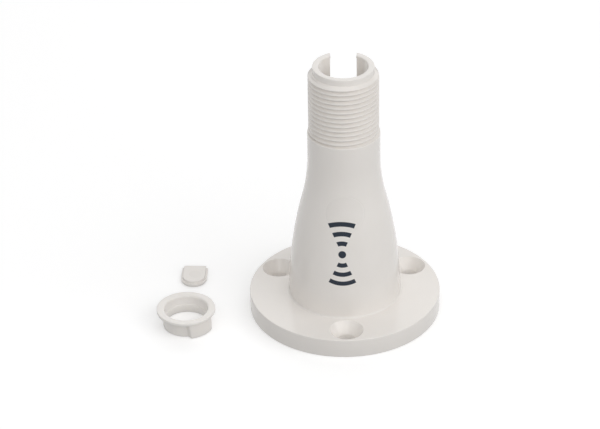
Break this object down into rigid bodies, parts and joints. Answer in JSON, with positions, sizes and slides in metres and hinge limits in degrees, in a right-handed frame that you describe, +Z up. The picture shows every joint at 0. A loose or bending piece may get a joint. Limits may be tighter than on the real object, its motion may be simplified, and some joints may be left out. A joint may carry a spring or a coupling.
{
  "type": "marine antenna deck mount",
  "caption": "Flanged pedestal with a hollow bottle-shaped column and a slotted, threaded neck for a marine antenna, with its loose neck ring and slot plug beside it.",
  "frame": {"origin": "centre of the flange's underside, on the column's axis, in the plane of the deck", "axes": "+Z up along the column, -Y towards the front screw hole, +Y towards the cable slot"},
  "size_m": [0.1041, 0.07, 0.1],
  "materials": {
    "white_nylon": "satin moulded nylon, warm white"
  },
  "bodies": {
    "mount": {"mount_body": "white_nylon"},
    "ring": {"neck_ring": "white_nylon"},
    "plug": {"slot_plug": "white_nylon"}
  },
  "joints": [
    {"name": "ring_lift", "type": "slide", "parent": "mount", "child": "ring", "axis": [0, 0, 1], "range_m": [0, 0.12]},
    {"name": "plug_lift", "type": "slide", "parent": "mount", "child": "plug", "axis": [0, 0, 1], "range_m": [0, 0.12]}
  ]
}
